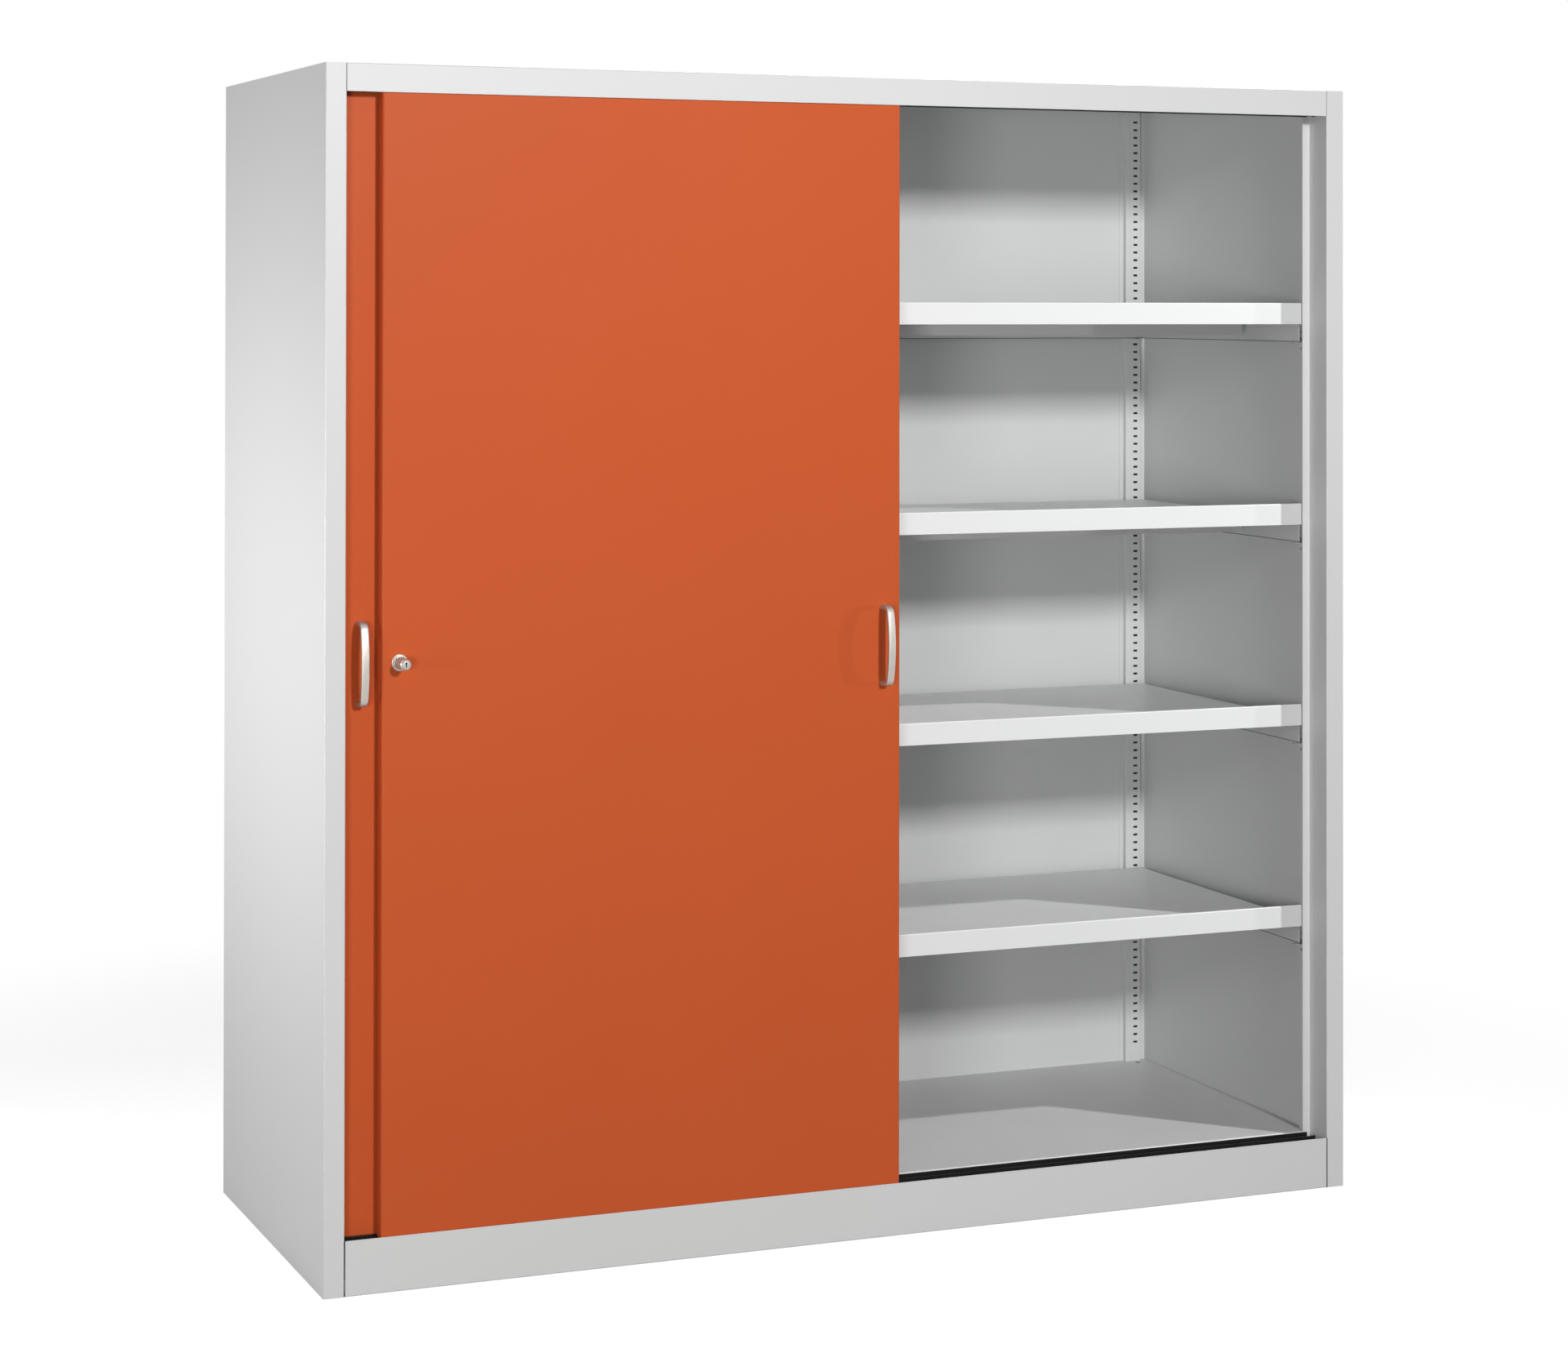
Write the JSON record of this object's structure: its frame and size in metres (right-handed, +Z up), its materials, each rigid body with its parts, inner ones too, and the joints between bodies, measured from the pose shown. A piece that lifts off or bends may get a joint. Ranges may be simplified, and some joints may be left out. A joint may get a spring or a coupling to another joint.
{
  "type": "sliding door equipment cabinet",
  "caption": "Light grey steel sports equipment cabinet with two orange sliding doors on black tracks, bow handles, a push lock and height-adjustable shelves on slotted posts.",
  "frame": {"origin": "middle of the cabinet's plan, on the floor under the base's centre rail", "axes": "+X to the right seen from the front, +Y to the back, +Z up"},
  "size_m": [1.9, 0.6313, 1.95],
  "materials": {
    "grey_paint": "light grey powder coat, satin",
    "orange_paint": "orange powder coat, satin",
    "black_plastic": "black extruded plastic",
    "white_nylon": "natural nylon",
    "nickel": "satin nickel plate",
    "zinc_steel": "bright zinc plate",
    "buffer_rubber": "black rubber"
  },
  "bodies": {
    "cabinet": {"base_centre_rail": "grey_paint", "base_rear_rail": "grey_paint", "bottom_panel": "grey_paint", "bottom_track": "black_plastic", "centre_partition": "grey_paint", "foot_brackets": "zinc_steel", "guide_carrier": "grey_paint", "jamb_buffers": "buffer_rubber", "left_back_panel": "grey_paint", "left_front_posts": "grey_paint", "left_inner_rear_post": "grey_paint", "left_outer_rear_post": "grey_paint", "left_shelf_1": "grey_paint", "left_shelf_2": "grey_paint", "left_shelf_3": "grey_paint", "left_shelf_4": "grey_paint", "left_shelf_braces": "grey_paint", "left_shelf_clips": "zinc_steel", "left_side_liner": "grey_paint", "left_side_panel": "grey_paint", "levelling_feet": "zinc_steel", "plinth_front": "grey_paint", "right_back_panel": "grey_paint", "right_front_posts": "grey_paint", "right_inner_rear_post": "grey_paint", "right_outer_rear_post": "grey_paint", "right_shelf_1": "grey_paint", "right_shelf_2": "grey_paint", "right_shelf_3": "grey_paint", "right_shelf_4": "grey_paint", "right_shelf_braces": "grey_paint", "right_shelf_clips": "zinc_steel", "right_side_liner": "grey_paint", "right_side_panel": "grey_paint", "top_guide": "black_plastic", "top_panel": "grey_paint"},
    "outer_door": {"outer_door_panel": "orange_paint", "outer_door_stiffeners": "grey_paint", "outer_handle": "nickel", "outer_handle_screws": "zinc_steel", "outer_roller_brackets": "zinc_steel", "outer_roller_axles": "zinc_steel", "outer_guide_shoes": "black_plastic", "lock_housing": "nickel", "lock_nut": "nickel"},
    "inner_door": {"inner_door_panel": "orange_paint", "inner_door_stiffeners": "grey_paint", "inner_handle": "nickel", "inner_handle_screws": "zinc_steel", "inner_roller_brackets": "zinc_steel", "inner_roller_axles": "zinc_steel", "inner_guide_shoes": "black_plastic", "lock_catch": "zinc_steel"},
    "lock_push": {"lock_barrel": "nickel", "lock_pin": "nickel"},
    "lock_key": {"lock_core": "nickel"},
    "outer_left_wheel": {"outer_roller_left": "white_nylon"},
    "outer_right_wheel": {"outer_roller_right": "white_nylon"},
    "inner_left_wheel": {"inner_roller_left": "white_nylon"},
    "inner_right_wheel": {"inner_roller_right": "white_nylon"}
  },
  "joints": [
    {"name": "outer_door_slide", "type": "slide", "parent": "cabinet", "child": "outer_door", "axis": [1, 0, 0], "range_m": [0, 0.845]},
    {"name": "inner_door_slide", "type": "slide", "parent": "cabinet", "child": "inner_door", "axis": [1, 0, 0], "range_m": [0, 0.012]},
    {"name": "lock_push_in", "type": "slide", "parent": "outer_door", "child": "lock_push", "axis": [0, 1, 0], "range_m": [0, 0.008], "stiffness_N_per_m": 150, "springref_m": -0.002},
    {"name": "lock_key_turn", "type": "hinge", "parent": "lock_push", "child": "lock_key", "pos_m": [-0.8242, -0.31635, 0.997], "axis": [0, 1, 0], "range_deg": [0, 90]},
    {"name": "outer_left_wheel_roll", "type": "hinge", "parent": "outer_door", "child": "outer_left_wheel", "pos_m": [-0.7736, -0.28635, 0.0893], "axis": [0, 1, 0], "range_deg": [0, 3030]},
    {"name": "outer_right_wheel_roll", "type": "hinge", "parent": "outer_door", "child": "outer_right_wheel", "pos_m": [-0.0126, -0.28635, 0.0893], "axis": [0, 1, 0], "range_deg": [0, 3030]},
    {"name": "inner_left_wheel_roll", "type": "hinge", "parent": "inner_door", "child": "inner_left_wheel", "pos_m": [-0.8332, -0.26165, 0.0893], "axis": [0, 1, 0], "range_deg": [0, 45]},
    {"name": "inner_right_wheel_roll", "type": "hinge", "parent": "inner_door", "child": "inner_right_wheel", "pos_m": [-0.0722, -0.26165, 0.0893], "axis": [0, 1, 0], "range_deg": [0, 45]}
  ],
  "couplings": [
    {"joint": "outer_left_wheel_roll", "follows": "outer_door_slide", "rad_per_m": 62.5},
    {"joint": "outer_right_wheel_roll", "follows": "outer_door_slide", "rad_per_m": 62.5},
    {"joint": "inner_left_wheel_roll", "follows": "inner_door_slide", "rad_per_m": 62.5},
    {"joint": "inner_right_wheel_roll", "follows": "inner_door_slide", "rad_per_m": 62.5}
  ]
}
